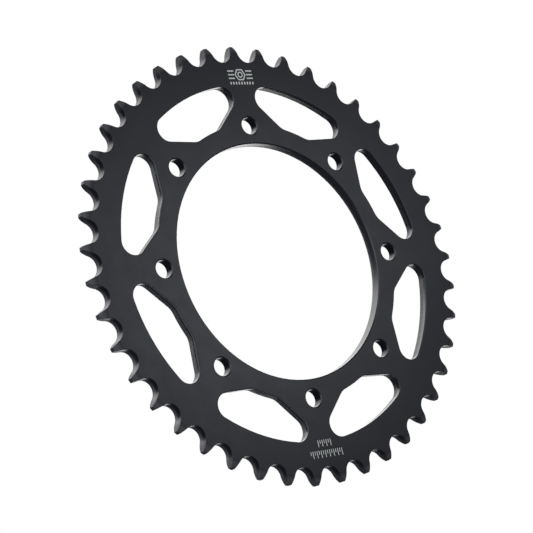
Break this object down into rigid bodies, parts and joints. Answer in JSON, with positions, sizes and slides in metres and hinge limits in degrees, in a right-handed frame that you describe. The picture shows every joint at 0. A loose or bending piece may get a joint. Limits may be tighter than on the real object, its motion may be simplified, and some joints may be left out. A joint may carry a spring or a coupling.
{
  "type": "rear sprocket",
  "caption": "Flat toothed ring for a motorcycle's rear wheel: takes a roller chain, with an open centre, a circle of bolt holes and long lightening windows.",
  "frame": {"origin": "centre of the bore, at mid-thickness", "axes": "+Z along the sprocket's axis, out of its outer face, away from the wheel; +X through the middle of a lightening window, halfway between two bolt holes"},
  "size_m": [0.2245, 0.2244, 0.0056],
  "materials": {
    "black_steel": "satin black coating on machined steel, with turned and punched walls showing through it"
  },
  "bodies": {
    "root": {"sprocket_plate": "black_steel"}
  },
  "joints": []
}
